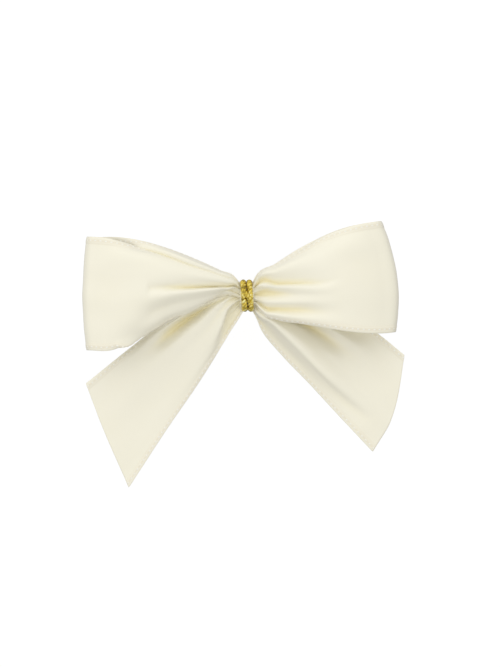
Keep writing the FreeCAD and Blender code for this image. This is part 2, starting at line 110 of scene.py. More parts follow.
LOOPS = {
    "left_loop": {
        "bearing": 180.0, "across_up": True, "fold_bow": 1.3, "fold_half": 19.4,
        "crown": [(.4, 8.3), (2.4, 8.7), (5.5, 10.8), (11, 13.2), (19, 15.4), (30, 16.9), (42, 15.9),
                  (50.5, 13.2), (55.4, 10.6), (56.6, 7.9), (53.6, 5.4), (46, 4.6), (34, 4.5), (20, 5.1),
                  (9, 5.9), (3, 6.1), (.4, 6.1)],
        "spare": [(.4, .4), (3.6, .9), (6, 1.6), (11, 2.4), (18, 2.6), (27, 2), (36, 1), (45, .2), (50, 0)],
        "back_spare": [(.4, .6), (3.6, 1.4), (6, 3), (11, 4.5), (18, 5.5), (27, 5), (36, 2.6), (45, .5),
                       (50, 0)],
        "front": [
            # the lower selvedge
            ([(.4, .6), (2.2, .9), (3.6, 1.9), (6, 2), (11, .6), (18, -2.6), (27, -5.6), (37, -11.4),
              (41, -15.2), (46, -18.3), (56.5, -18.9)],
             [(.4, 1.2), (3.6, 2.6), (6, 4.4), (11, 6.6), (18, 8), (27, 8), (37, 6), (43, 2.8),
              (50, .2)], .1),
            ([(.4, .2), (2.2, .5), (3.6, 1.9), (5.4, 1.4), (11.2, -1.7), (19.3, -6.2), (24.7, -7.9),
              (30.1, -10.6), (37, -14.6), (41, -17.2), (47.8, -17.9), (56.5, -17.4)],
             [(.4, .8), (3.6, 1.8), (6, 3.2), (11, 4.9), (18, 6.2), (27, 6.4), (37, 4.8), (43, 2.3),
              (50, .1)], .1),
            ([(.4, .4), (2.2, .7), (3.6, 2), (6, 1.7), (11, -.9), (18, -4.4), (27, -7.6), (37, -12.6),
              (45, -15), (56.5, -14.5)],
             [(.4, .5), (6, 1.8), (11, 2.7), (18, 3.8), (27, 4.2), (37, 3.3), (45, 1.1), (50, .05)], 0),
            ([(.4, .7), (2.2, 1), (3.6, 2.2), (6, 2), (11, .5), (18, -1.5), (26.6, -3.4), (32, -5.6),
              (37.6, -9), (45, -10), (56.5, -9.6)],
             [(.4, .5), (3.6, .9), (6, 1.1), (11, 1.3), (18, 1.9), (27, 2.3), (35, 2), (42, .7),
              (50, 0)], .1),
            ([(.4, 1.1), (2.2, 1.4), (3.6, 2.6), (6, 2.4), (11, 2.1), (17.4, 1.6), (26.6, .8), (37, -1.8),
              (45, -4), (56.5, -4.6)],
             [(.4, 0), (11, .1), (27, .2), (45, 0)], 0),
            ([(.4, 1.7), (2.2, 2), (3.6, 3.1), (6, 3), (11, 2.9), (18, 2.7), (27, 2.6), (37, 2.4),
              (56.5, .8)],
             [(.4, .6), (3.6, 1.1), (6, 1.5), (11, 1.8), (18, 1.5), (24, .8), (30, .15), (36, 0)], .5),
            ([(.4, 2), (2.2, 2.4), (3.6, 3.6), (6, 3.7), (11, 3.8), (18, 3.8), (27, 4), (37, 4.2),
              (56.5, 3.4)],
             [(.4, .3), (3.6, .7), (6, 1), (11, 1.3), (18, 1.2), (24, .65), (30, .15), (36, 0)], .1),
            ([(.4, 2.4), (2.2, 2.7), (3.6, 4.2), (6, 4.8), (11, 5.8), (18, 7), (27, 8.4), (37, 8.6),
              (56.5, 7.6)],
             [(.4, 0), (6, .2), (27, .3), (45, 0)], 0),
            ([(.4, 2.7), (2.2, 3), (3.6, 4.8), (6, 5.6), (11, 7.2), (18, 9.4), (27, 12), (37, 14),
              (56.5, 14.4)],
             [(.4, .2), (6, .8), (11, 1.2), (18, 1.8), (27, 2.2), (37, 1.6), (47, .2), (52, 0)], 0),
            # the upper selvedge
            ([(.4, 3), (2.2, 3.3), (3.6, 5.4), (6, 6.6), (10, 8.2), (17, 11), (23, 12.8), (28, 14),
              (32, 14.9), (38, 16.2), (43, 17.8), (49, 19.5), (56.5, 20.3)],
             [(.4, .6), (3.6, 1.6), (6, 2.8), (11, 4.6), (18, 6.6), (27, 7.6), (37, 6.6), (44, 3.6),
              (49, 1), (53, .1)], .1),
        ],
        "back_low": [(.4, -.5), (2.2, -.5), (6, .5), (11, -.6), (18, -3.6), (27, -7.2), (37, -12.6),
                     (43, -16.5), (56.5, -18.9)],
        "back_high": [(.4, 2.6), (2.2, 3.2), (3.6, 5.6), (9.3, 8.7), (17, 12.2), (26.6, 16.1), (36.2, 18.8),
                      (47.8, 20.4), (56.5, 20.4)],
        "back_edge_up": [(4, .3), (11, 1.6), (20, 3.2), (32, 4), (42, 3.6), (49, 1), (53, 0)],
    },
    "right_loop": {
        "bearing": 7.6, "across_up": False, "fold_bow": 3.0, "fold_half": 19.3,
        "crown": [(.4, 8.3), (2.4, 8.7), (5.5, 10.7), (11, 13), (19, 15.2), (28, 16.5), (38, 15.6),
                  (46.5, 13), (51.2, 10.4), (52.1, 7.8), (49.4, 5.4), (42, 4.6), (31, 4.5), (19, 5.1),
                  (9, 5.9), (3, 6.1), (.4, 6.1)],
        "spare": [(.4, .4), (3.6, .8), (6, 1.3), (11, 1.6), (18, 1.2), (27, .4), (33, 0)],
        "back_spare": [(.4, .6), (3.6, 1.4), (6, 3), (11, 4.5), (18, 5), (27, 4), (36, 1.2), (42, .2),
                       (47, 0)],
        "front": [
            # the lower selvedge
            ([(.4, -2.6), (2.2, -3.2), (3.6, -6.6), (8.3, -9.8), (15.9, -12), (23.2, -14.1), (32.7, -16.6),
              (43.2, -18.6), (52, -19.3)],
             [(.4, .6), (3.6, 1.8), (8, 2.4), (16, 2.2), (27, 1.5), (38, .7), (47, 0)], .2),
            ([(.4, -2.2), (2.2, -2.8), (4.4, -5.9), (9, -7.9), (16, -9.9), (24, -11.8), (33, -13.9),
              (43, -15.8), (52, -16.4)],
             [(.4, .2), (4.8, .7), (9, 1), (16, 1), (27, .7), (38, .3), (47, 0)], 0),
            ([(.4, -1.7), (2.2, -2.2), (3.8, -4.6), (9.2, -6.3), (17.2, -7.4), (27, -9.4), (38, -10.4),
              (52, -10.6)],
             [(.4, .9), (4, 2), (9, 2.2), (16, 2), (23, 1), (30, .3), (36, 0)], .5),
            ([(.4, -1), (2.2, -1.3), (5.5, -2.9), (12, -4), (20, -5), (30, -6.2), (52, -6.4)],
             [(.4, .1), (5, .4), (12, .7), (20, .4), (30, .1), (40, 0)], 0),
            ([(.4, -.1), (2.2, 0), (4, .2), (10, -.7), (14, -1.5), (18, -2.4), (27, -3.6), (38, -3),
              (52, -2)],
             [(.4, .8), (4, 1.7), (8, 1.5), (12, .8), (17, .2), (22, 0)], .6),
            ([(.4, .8), (2.2, 1.1), (4, 2.4), (10.4, 1.5), (18.4, .5), (27.3, -.8), (38, .8), (52, 2.5)],
             [(.4, 0), (6, .1), (12, .1), (30, 0)], 0),
            ([(.4, 1.5), (2.2, 2), (3.5, 3.6), (10.4, 2.6), (18.4, 1.6), (27.3, .7), (38, 3), (47, 6),
              (52, 6.6)],
             [(.4, .8), (4, 1.5), (9, 1.8), (15, 1.8), (22, 1.2), (28, .4), (34, 0)], .5),
            ([(.4, 1.9), (2.2, 2.4), (3.7, 4.4), (10.6, 3.9), (18.6, 3.1), (27.5, 2.4), (38, 4.8),
              (52, 8.4)],
             [(.4, .4), (4, 1), (9, 1.4), (15, 1.5), (22, 1), (28, .35), (34, 0)], .1),
            ([(.4, 2.3), (2.2, 2.8), (4, 5.1), (10.9, 7), (19, 8.8), (27, 10.2), (38, 12), (52, 13)],
             [(.4, .1), (4, .2), (12, .3), (27, .4), (38, .2), (47, 0)], 0),
            # the upper selvedge
            ([(.4, 2.8), (2.2, 3.3), (3.8, 5.6), (10.9, 9.1), (19.2, 12.8), (27.3, 15.8), (38.1, 18.2),
              (43.2, 18.9), (52, 19.3)],
             [(.4, .6), (4, 1.6), (11, 3.2), (19, 4.6), (27, 4.4), (38, 2.4), (47, .4), (52, 0)], .3),
        ],
        "back_low": [(.4, -2.6), (2.2, -3.2), (3.6, -6), (8.3, -9), (15.9, -11.2), (23.2, -13.4),
                     (32.7, -16), (43, -18.3), (52, -19.3)],
        "back_high": [(.4, 2.6), (2.2, 3.2), (3.8, 5.8), (10.9, 9.5), (19.2, 13.4), (27.3, 16.4),
                      (38.1, 18.8), (43.2, 19.35), (52, 19.3)],
        "back_edge_up": [(4, .3), (11, 1.8), (19, 3), (32, 3), (44, .6), (48, 0)],
    },
}

TAILS = {
    "left_tail": {
        "bearing": -132.0,
        "crown": [(.4, 5.2), (2.4, 5.6), (5, 6.9), (8, 7.5), (12, 7.1), (20, 5.9), (30, 4.6), (42, 3.1),
                  (60, 1.6), (77, .9)],
        "spare": [(.4, .2), (6, .6), (10, 1.2), (16, 3.4), (22, 4), (28, 3), (35, 1), (42, .1), (50, 0)],
        "cut": [(-21.3, 60.3), (-8, 67.2), (14, 77.3)],
        "lines": [
            # the lower selvedge
            ([(.4, -2.9), (2.4, -3.8), (5, -5.8), (9.3, -8.2), (18, -12.2), (28, -15.6), (40.3, -18.1),
              (59.8, -21.3)],
             [(.4, .6), (5, 2), (10, 3.2), (20, 3.4), (30, 2.4), (42, 1), (60, .3)], .5),
            ([(.4, -2.7), (2.4, -3.6), (5, -5.4), (9.3, -7.6), (18, -11.3), (28, -14.2), (42, -16.4),
              (62, -18.4)],
             [(.4, .3), (5, .8), (10, 1.4), (20, 1.2), (30, .9), (42, .5), (60, .1)], 0),
            ([(.4, -2.3), (2.4, -3.8), (5, -5), (9.3, -6.8), (18, -9.6), (28, -12), (42, -13.6),
              (62, -14.6)],
             [(.4, .2), (5, .4), (10, .8), (20, 1.4), (30, 1), (42, .5), (60, .1)], 1),
            ([(.4, -1.6), (2.5, -3.3), (5, -4.2), (7, -4.7), (11, -5.6), (14, -5.8), (16.4, -5.9),
              (21.7, -6.9), (30.6, -8), (42.7, -8.6), (64, -9)],
             [(.4, 0), (40, 0), (60, 0)], 0),
            ([(.4, -.8), (2.4, -2), (5, -3), (8, -3.3), (14, -2.8), (22, -2.6), (32, -3), (44, -3),
              (66, -2.6)],
             [(.4, .2), (5, .5), (10, .5), (20, .5), (32, .5), (44, .4), (62, .2)], 0),
            ([(.4, -.1), (2.4, -.9), (5, -1.8), (7.6, -2), (11.1, -.7), (14, .6), (20, 2.4), (27, 2.8),
              (44, 3.2), (68, 4)],
             [(.4, .1), (5, .2), (9, .3), (14, .5), (20, .8), (32, 1), (44, .9), (62, .3)], 0),
            ([(.4, .3), (2.4, -.4), (5, -1.1), (7.8, -1.1), (11.4, .2), (14.4, 1.5), (20, 3.4), (27, 4.2),
              (44, 5.2), (70, 6.6)],
             [(.4, .4), (5, 1.6), (9, 2.4), (14, 2.3), (20, 1.6), (28, 1.3), (44, 1), (62, .3)], 0),
            ([(.4, 1.4), (2.4, 1.1), (5, .9), (9.2, 1.3), (13.3, 2.8), (17.7, 4), (24, 5), (31, 5.8),
              (54, 8.4), (73, 10.6)],
             [(.4, .8), (5, 2.6), (9, 3.8), (14, 3.8), (20, 2.8), (28, 2), (45, 1.2), (62, .4)], 0),
            # the upper selvedge
            ([(.4, 2.4), (2.4, 2.7), (5.6, 2.75), (7.9, 3.2), (13.3, 4), (17.7, 4.9), (31, 7.3),
              (54.2, 10.5), (76.5, 14)],
             [(.4, 1), (4, 1.8), (8, 2.8), (13, 3.2), (20, 3), (31, 2.4), (45, 1.5), (60, .6),
              (76, .2)], 0),
        ],
    },
    "right_tail": {
        "bearing": -39.0,
        "crown": [(.4, 5.2), (2.4, 5.4), (5, 6.2), (8, 7), (12, 7.6), (20, 7.1), (30, 6.1), (40, 4.6),
                  (50, 3), (68, 1.2)],
        "spare": [(.4, .4), (5, 1.6), (10, 2.4), (20, 2.4), (30, 1.8), (38, .8), (45, .2), (60, 0)],
        "cut": [(-14.6, 68.3), (-1, 66), (5.95, 62.8), (18.5, 55.6)],
        "lines": [
            # the lower selvedge
            ([(.4, -2.2), (2.4, -2.6), (5, -3), (11.9, -6.3), (21.9, -8.4), (34.6, -10), (52.3, -12.5),
              (67.6, -14.6)],
             [(.4, .8), (5, 2.8), (8, 4.8), (12, 6.6), (20, 6.6), (30, 5.6), (40, 4.1), (50, 2.5),
              (60, .9)], 0),
            ([(.4, -1.6), (2.4, -1.9), (5, -2.7), (8, -3.9), (12, -4.6), (20, -6), (30, -7.2), (45, -9.4),
              (66, -10.6)],
             [(.4, 1), (5, 3), (8, 4.6), (12, 5.4), (20, 5.3), (30, 4.5), (40, 3.3), (50, 2),
              (60, .7)], .1),
            ([(.4, -1.3), (2.4, -1.5), (5, -2.4), (8, -3.2), (12.4, -2.9), (20, -3.7), (30, -4.9),
              (45, -6.4), (65, -6.6)],
             [(.4, .3), (5, 1.6), (8, 2.4), (12, 2.3), (20, 2.1), (30, 2), (37, 1.8), (45, 1.5), (54, 1),
              (62, .4)], 0),
            ([(.4, -.9), (2.4, -1.1), (5, -2), (7.3, -2.5), (12.4, -1.9), (19, -2.3), (26.4, -3.1),
              (35.9, -4.4), (49, -5.2), (64, -4.6)],
             [(.4, 0), (20, 0), (40, .1), (60, .1)], 0),
            ([(.4, .2), (2.4, .2), (5, .3), (12.4, 1.6), (20, 2.4), (30, 2), (45, 1.4), (63, 1.4)],
             [(.4, .4), (5, 1.3), (12, 2.2), (20, 2), (30, 1.6), (45, .7), (60, 0)], 0),
            ([(.4, 1), (2.4, 1.1), (5, 1.4), (12.4, 3.6), (20, 5.2), (30, 6.6), (45, 7.4), (60, 7.6)],
             [(.4, .3), (5, 1.4), (12, 2.9), (20, 3), (30, 2.7), (45, 1.3), (60, .2)], 1),
            ([(.4, 1.6), (2.4, 1.9), (5, 2.6), (12.4, 5.2), (20, 7.6), (30, 9.6), (45, 11), (60, 11.4)],
             [(.4, .1), (5, .9), (12, 2.3), (20, 2.8), (30, 2.8), (45, 1.4), (60, .2)], 0),
            ([(.4, 2.2), (2.4, 2.6), (5, 3.6), (12.4, 6.8), (20, 10), (30, 13), (43, 14.8), (57, 15)],
             [(.4, .5), (5, 2), (12, 3.8), (20, 4.1), (30, 3.6), (45, 1.8), (60, .2)], 1),
            # the upper selvedge
            ([(.4, 2.6), (2.4, 3), (5, 4.2), (12.4, 8), (20, 11.6), (30, 15.4), (43, 18.4), (55, 18.5)],
             [(.4, .9), (5, 2.4), (12, 4.6), (20, 4.9), (30, 4.2), (45, 2.2), (55, .4)], .2),
        ],
    },
}

LOOP_ROWS = 200
TAIL_ROWS = 130
NEST_OVER = 12.0            # the back of a loop nests under its front within this distance of the fold
SECTION_TRIES = 9
PLEAT_HIGH = 0.16
WRINKLE_HIGH = 0.07
LOWEST = 0.45               # no tail dips below this height
# painted shade in the satin's colour, darker and warmer deep in folds and next to the tie, is set by these
# four numbers
DEPTH_REACH = 9             # stations to each side that tell how deep in a fold a point lies
DEEP = 1.9                  # so far below its surroundings, in millimetres, a point is wholly in a fold
TIE_PAINTED_SHADE = 0.45
TIE_PAINTED_SHADE_REACH = 11.0
TIE_MOUTH = 1.8             # each limb's sheet starts this far out, just inside the tie
TIE_PLEATS = {"left_loop": 11, "right_loop": 12, "left_tail": 9, "right_tail": 9}


def limb_axes(bearing, across_up=False):
    """The directions out along and across a limb, for a bearing in degrees from +X."""
    turn = math.radians(bearing)
    out = np.array([math.cos(turn), math.sin(turn), 0.0])
    across = np.array([-out[1], out[0], 0.0])
    return out, (-across if across_up else across)


def stations_across():
    """Distances from one selvedge to the other at which a sheet has points: close along the hems."""
    hem = [0, 0.14, 0.4, 0.85, 1.25, 1.65, HEM_WIDE - 0.22, HEM_WIDE, HEM_WIDE + 0.2]
    inner = np.linspace(HEM_WIDE + 0.8, RIBBON_WIDE - HEM_WIDE - 0.8, 52)
    return np.array(hem + list(inner) + [RIBBON_WIDE - place for place in reversed(hem)])


def section_points(corners, count):
    """A smooth line through one section's corners, and how far along it each point is."""
    place = lengths_along(corners)
    line = through(list(zip(place, corners)), np.linspace(0, place[-1], count))
    return line, lengths_along(line)


def settled_section(make_corners, most, across):
    """The section whose spare depth, up to a most, makes it as wide as the ribbon, divided by width."""
    low, high = 0.0, float(most)
    for _ in range(SECTION_TRIES):
        middle = (low + high) / 2
        if section_points(make_corners(middle), 90)[1][-1] < RIBBON_WIDE:
            low = middle
        else:
            high = middle
    line, along = section_points(make_corners(low), 240)
    wanted = across / RIBBON_WIDE * along[-1]
    return np.stack([np.interp(wanted, along, line[:, axis]) for axis in range(3)], axis=1)


def loop_sections(loop, rows, across):
    """A loop's sheet in its own frame, from the tie round the fold and back: (out, across, up) points."""
    line = evenly(loop["crown"], rows)
    tangent = np.gradient(line, axis=0)
    tangent /= np.linalg.norm(tangent, axis=1)[:, None]
    reach = line[:, 0].max()
    turn_row = int(np.argmax(line[:, 0]))
    runs, drops, slack = zip(*loop["front"])
    slack = np.array(slack)
    fold_at = np.array([through(run, reach) for run in runs])
    sections = []
    for row, (out, up) in enumerate(line):
        run = np.array([through(run, out) for run in runs])
        bow = loop["fold_bow"] * (run / loop["fold_half"]) ** 2 * ease(out / reach * 1.6 - 0.6)
        if row <= turn_row:
            drop = np.array([through(drop, out) for drop in drops])
            side, give = run, slack
        else:
            low, high = through(loop["back_low"], out), through(loop["back_high"], out)
            share = 0.06 + 0.94 * ((run - run[1]) / (run[-1] - run[1])).clip(0, 1)
            share[0] = 0
            nested = ease((reach - out) / NEST_OVER)
            side = fold_at + nested * (low + (high - low) * share - fold_at)
            edge = through(loop["back_edge_up"], out)
            drop, give = np.zeros(len(runs)), 1 - slack
            drop[-3:] = edge * 0.3, edge * 0.9, edge
            give[0] = give[-1] = 0.1

        def corners(spare, row=row, out=out, up=up, side=side, drop=drop, give=give, bow=bow):
            inward = drop + give * spare
            outward = out - bow + tangent[row, 1] * inward
            return np.stack([outward, side, up - tangent[row, 0] * inward], axis=1)

        most = through(loop["spare" if row <= turn_row else "back_spare"], out)
        sections.append(settled_section(corners, most, across))
    return np.array(sections), lengths_along(line)


def tail_sections(tail, rows, across):
    """A tail's sheet in its own frame, from the tie out to its slanted cut."""
    runs, drops, slack = zip(*tail["lines"])
    slack = np.array(slack)
    ends = []
    for run in runs:
        end = 60.0
        for _ in range(6):
            end = float(through(tail["cut"], through(run, end)))
        ends.append(end)
    start = tail["crown"][0][0]
    sections = []
    for part in np.linspace(0, 1, rows):
        outs = [start + part * (end - start) for end in ends]
        side = np.array([through(run, out) for run, out in zip(runs, outs)])
        up = np.array([through(tail["crown"], out) - through(drop, out) for drop, out in zip(drops, outs)])

        def corners(spare, outs=outs, side=side, up=up):
            return np.stack([outs, side, (up - slack * spare).clip(LOWEST)], axis=1)

        most = through(tail["spare"], start + part * (np.mean(ends) - start))
        sections.append(settled_section(corners, most, across))
    return np.array(sections), np.linspace(0, 1, rows) * (np.mean(ends) - start)


def surface_normals(grid):
    """The unit normal at each point of a grid of points."""
    normal = np.cross(np.gradient(grid, axis=0), np.gradient(grid, axis=1))
    return normal / np.maximum(np.linalg.norm(normal, axis=2), 1e-9)[:, :, None]


def crowd_pleats(grid, across, count, seed):
    """The small crowded pleats where the ribbon goes into the tie, fading out along the limb."""
    random = np.random.default_rng(seed)
    distance = np.hypot(grid[:, :, 0], grid[:, :, 1])
    fade = np.exp(-((distance - 2) / 5.5).clip(0) ** 1.2) * ease((distance - 0.5) / 2)
    share = across / RIBBON_WIDE
    wave = np.zeros_like(share)
    for step in (0, 3, 7):
        wave = wave + np.sin(2 * math.pi * ((count + step) * share + random.random())) / (1 + step / 3)
    return grid + surface_normals(grid) * (PLEAT_HIGH * fade * wave[None, :])[:, :, None]


def soft_wrinkles(grid, seed):
    """Long shallow unevenness, as a ribbon has that was folded by hand."""
    random = np.random.default_rng(seed)
    out, across = grid[:, :, 0], grid[:, :, 1]
    wave = np.zeros_like(out)
    for _ in range(7):
        turn = random.uniform(-0.5, 0.5)
        long = random.uniform(9, 22)
        phase = random.uniform(0, 2 * math.pi)
        way = across * math.cos(turn) + out * math.sin(turn)
        wave = wave + np.sin(2 * math.pi * way / long + phase) * long / 22
    fade = ease((np.hypot(out, across) - 6) / 16)
    return grid + surface_normals(grid) * (WRINKLE_HIGH * fade * wave)[:, :, None]


def ribbon_grid(name):
    """The middle surface of one limb's sheet, in the row frame, with its distances along and across."""
    across = stations_across()
    if name in LOOPS:
        limb = LOOPS[name]
        grid, along = loop_sections(limb, LOOP_ROWS, across)
        axes = limb_axes(limb["bearing"], limb["across_up"])
    else:
        limb = TAILS[name]
        grid, along = tail_sections(limb, TAIL_ROWS, across)
        axes = limb_axes(limb["bearing"])
    seed = sum(name.encode())
    outside = grid[:, :, 0].mean(axis=1) > TIE_MOUTH
    grid, along = grid[outside], along[outside] - along[outside][0]
    grid = crowd_pleats(grid, across, TIE_PLEATS[name], seed)
    grid = soft_wrinkles(grid, seed + 1)
    out, side = axes
    placed = grid[:, :, :1] * out + grid[:, :, 1:2] * side + grid[:, :, 2:] * np.array([0, 0, 1.0])
    return placed, along, across


def ribbon_thickness(across):
    """The ribbon's thickness at each distance across: thicker along both hems, rounded at the selvedge."""
    edge = np.minimum(across, RIBBON_WIDE - across)
    hem = 1 - ease((edge - (HEM_WIDE - 0.2)) / 0.25)
    lip = np.sqrt(np.clip(edge / 0.4, 0.12, 1))
    return (RIBBON_THICK + (HEM_THICK - RIBBON_THICK) * hem) * lip


# ---------------------------------------------------------------- meshes

def mesh_piece(name, points, faces, material):
    """A plain mesh object in metres, smooth shaded, with its place in its mesh."""
    mesh = bpy.data.meshes.new(name)
    mesh.from_pydata([tuple(point) for point in np.asarray(points) * MM], [], faces)
    mesh.materials.append(material)
    mesh.polygons.foreach_set("use_smooth", [True] * len(mesh.polygons))
    mesh.update()
    piece = bpy.data.objects.new(name, mesh)
    bpy.context.scene.collection.objects.link(piece)
    return piece


def add_uv(piece, values):
    """A UV map from one (along, across) pair for each vertex."""
    layer = piece.data.uv_layers.new(name="ribbon")
    corner = np.zeros(len(piece.data.loops), np.int32)
    piece.data.loops.foreach_get("vertex_index", corner)
    layer.data.foreach_set("uv", np.asarray(values, np.float32)[corner].ravel())


def painted_shade_in_folds(grid):
    """The painted shade for each point of a sheet, on its face and on its back, from how deep in a fold it
    lies and how near the tie: 0 in the open, 1 deep.
    """
    columns = grid.shape[1]
    window = 2 * DEPTH_REACH + 1
    padded = np.pad(grid, ((0, 0), (DEPTH_REACH, DEPTH_REACH), (0, 0)), mode="edge")
    around = sum(padded[:, shift:shift + columns] for shift in range(window)) / window
    sunk = ((around - grid) * surface_normals(grid)).sum(axis=2)
    # painted shade next to the tie, fading with distance out
    painted_tie_shade = TIE_PAINTED_SHADE * np.exp(-(np.hypot(grid[:, :, 0], grid[:, :, 1]) / TIE_PAINTED_SHADE_REACH) ** 2)
    return [ease(painted_tie_shade + side * sunk / DEEP) for side in (1, -1)]


def closed_sheet(name, grid, along, across, material):
    """A thin closed shell round a sheet's middle surface: a face, a back and an edge all round."""
    rows, columns = grid.shape[:2]
    half = surface_normals(grid) * (ribbon_thickness(across) / 2)[None, :, None]
    points = np.concatenate([(grid + half).reshape(-1, 3), (grid - half).reshape(-1, 3)])
    index = np.arange(rows * columns).reshape(rows, columns)
    a, b, c, d = index[:-1, :-1], index[1:, :-1], index[1:, 1:], index[:-1, 1:]
    face = np.stack([a, b, c, d], axis=-1).reshape(-1, 4)
    back = face[:, ::-1] + rows * columns
    border = np.concatenate([index[0, :-1], index[:-1, -1], index[-1, :0:-1], index[:0:-1, 0]])
    following = np.roll(border, -1)
    edge = np.stack([border, following, following + rows * columns, border + rows * columns], axis=1)
    faces = [tuple(int(corner) for corner in quad) for quad in np.concatenate([face, back, edge])]
    piece = mesh_piece(name, points, faces, material)
    uv = np.stack(np.broadcast_arrays(along[:, None], across[None, :]), axis=-1).reshape(-1, 2) * MM
    add_uv(piece, np.concatenate([uv, uv]))
    # painted shade for the satin's colour: darker and warmer deep in folds and next to the tie
    depth = piece.data.attributes.new("painted_fold_shade", "FLOAT", "POINT")
    depth.data.foreach_set("value", np.concatenate([side.ravel() for side in painted_shade_in_folds(grid)]))
    return piece


# ---------------------------------------------------------------- materials

HEM_SPAN = 4.0              # the edge band, in millimetres, over which the hem's colour is set
HEM_SHADES = [(0.0, 0.99), (0.55, 1.0), (0.95, 0.96), (1.25, 0.93), (1.6, 0.96), (2.0, 0.99),
              (HEM_WIDE, 0.965), (HEM_WIDE + 0.35, 0.995), (3.2, 1.0)]
IVORY_LIGHT = (0.965, 0.930, 0.775, 1)
IVORY_DEEP = (0.955, 0.910, 0.730, 1)
PAINTED_FOLD_SHADE_TINT = (1.0, 0.94, 0.70, 1)      # painted shade: what the colour deep in a fold and next to the tie is multiplied by
THREAD_LIGHT = (0.99, 0.98, 0.90, 1)
THREAD_DEEP = (0.96, 0.93, 0.80, 1)


def new_material(name, roughness):
    """A new material, its node tree and its one Principled shader."""
    material = bpy.data.materials.new(name)
    material.use_nodes = True
    shader = material.node_tree.nodes["Principled BSDF"]
    shader.inputs["Roughness"].default_value = roughness
    return material, material.node_tree, shader


def feed(tree, socket, value):
    """Give a socket a number or colour, or the result of another node."""
    if isinstance(value, bpy.types.NodeSocket):
        tree.links.new(value, socket)
    else:
        socket.default_value = value


def sum_of(tree, operation, first, second=0.0):
    """One sum on two sockets or numbers."""
    node = tree.nodes.new("ShaderNodeMath")
    node.operation = operation
    feed(tree, node.inputs[0], first)
    feed(tree, node.inputs[1], second)
    return node.outputs[0]


def mixed(tree, first, second, share, blend="MIX"):
    """Two colours mixed by a share."""
    node = tree.nodes.new("ShaderNodeMix")
    node.data_type = "RGBA"
    node.blend_type = blend
    for name, value in (("Factor", share), ("A", first), ("B", second)):
        feed(tree, node.inputs[name], value)
    return node.outputs["Result"]


def cloud(tree, place, scale, detail=2.0, distortion=0.0):
    """A cloudy pattern over a place, from 0 to 1."""
    node = tree.nodes.new("ShaderNodeTexNoise")
    node.inputs["Scale"].default_value = scale
    node.inputs["Detail"].default_value = detail
    node.inputs["Distortion"].default_value = distortion
    tree.links.new(place, node.inputs["Vector"])
    return node.outputs["Fac"]


def stretched(tree, place, scale, turn=0.0):
    """A place stretched, and turned in its own plane."""
    node = tree.nodes.new("ShaderNodeMapping")
    node.inputs["Scale"].default_value = scale
    node.inputs["Rotation"].default_value = (0, 0, turn)
    tree.links.new(place, node.inputs["Vector"])
    return node.outputs["Vector"]


def shades(tree, share, stops):
    """The colour at a share of the way along some (place, colour) stops."""
    node = tree.nodes.new("ShaderNodeValToRGB")
    ramp = node.color_ramp
    while len(ramp.elements) < len(stops):
        ramp.elements.new(0.5)
    for element, (place, colour) in zip(ramp.elements, stops):
        element.position = place
        element.color = (*colour, 1)
    tree.links.new(share, node.inputs["Fac"])
    return node.outputs["Color"]


def add_bump(tree, shader, height, strength, distance):
    """Relief on the shader's surface."""
    bump = tree.nodes.new("ShaderNodeBump")
    bump.inputs["Strength"].default_value = strength
    bump.inputs["Distance"].default_value = distance
    tree.links.new(height, bump.inputs["Height"])
    tree.links.new(bump.outputs["Normal"], shader.inputs["Normal"])


def satin():
    """Ivory double-faced satin: a smooth soft sheen, very fine floats, narrow hems that are a little darker
    along their stitching, and painted shade, a warmer and darker colour, deep in the folds and next to the
    tie."""
    material, tree, shader = new_material("ivory_satin", 0.36)
    where = tree.nodes.new("ShaderNodeTexCoord")
    tint = mixed(tree, IVORY_LIGHT, IVORY_DEEP, cloud(tree, where.outputs["Object"], 55.0, 3.0))
    across = tree.nodes.new("ShaderNodeSeparateXYZ")
    tree.links.new(where.outputs["UV"], across.inputs["Vector"])
    half_wide = RIBBON_WIDE / 2 * MM
    from_middle = sum_of(tree, "ABSOLUTE", sum_of(tree, "SUBTRACT", across.outputs["Y"], half_wide))
    into_band = sum_of(tree, "DIVIDE", sum_of(tree, "SUBTRACT", half_wide, from_middle), HEM_SPAN * MM)
    stops = [(place / HEM_SPAN, (value, value * (1 + value) / 2, value ** 2)) for place, value in HEM_SHADES]
    hemmed = mixed(tree, tint, shades(tree, into_band, stops), 1.0, "MULTIPLY")
    # painted shade: the colour is multiplied towards a warm tint deep in the folds and next to the tie
    depth = tree.nodes.new("ShaderNodeAttribute")
    depth.attribute_name = "painted_fold_shade"
    painted_fold_shade_colour = mixed(tree, hemmed, PAINTED_FOLD_SHADE_TINT, depth.outputs["Fac"], "MULTIPLY")
    tree.links.new(painted_fold_shade_colour, shader.inputs["Base Color"])
    floats = cloud(tree, stretched(tree, where.outputs["UV"], (900.0, 5200.0, 1.0)), 1.0)
    add_bump(tree, shader, floats, 0.12, 0.00006)
    shader.inputs["Specular IOR Level"].default_value = 0.9
    shader.inputs["Coat Weight"].default_value = 0.4
    shader.inputs["Coat Roughness"].default_value = 0.3
    shader.inputs["Sheen Weight"].default_value = 0.3
    shader.inputs["Sheen Roughness"].default_value = 0.35
    return material


def bead_thread():
    """The slightly glossier thread of the bead row along each hem."""
    material, tree, shader = new_material("hem_thread", 0.45)
    where = tree.nodes.new("ShaderNodeTexCoord")
    fibre = cloud(tree, where.outputs["Object"], 2600.0)
    tree.links.new(mixed(tree, THREAD_LIGHT, THREAD_DEEP, fibre), shader.inputs["Base Color"])
    return material


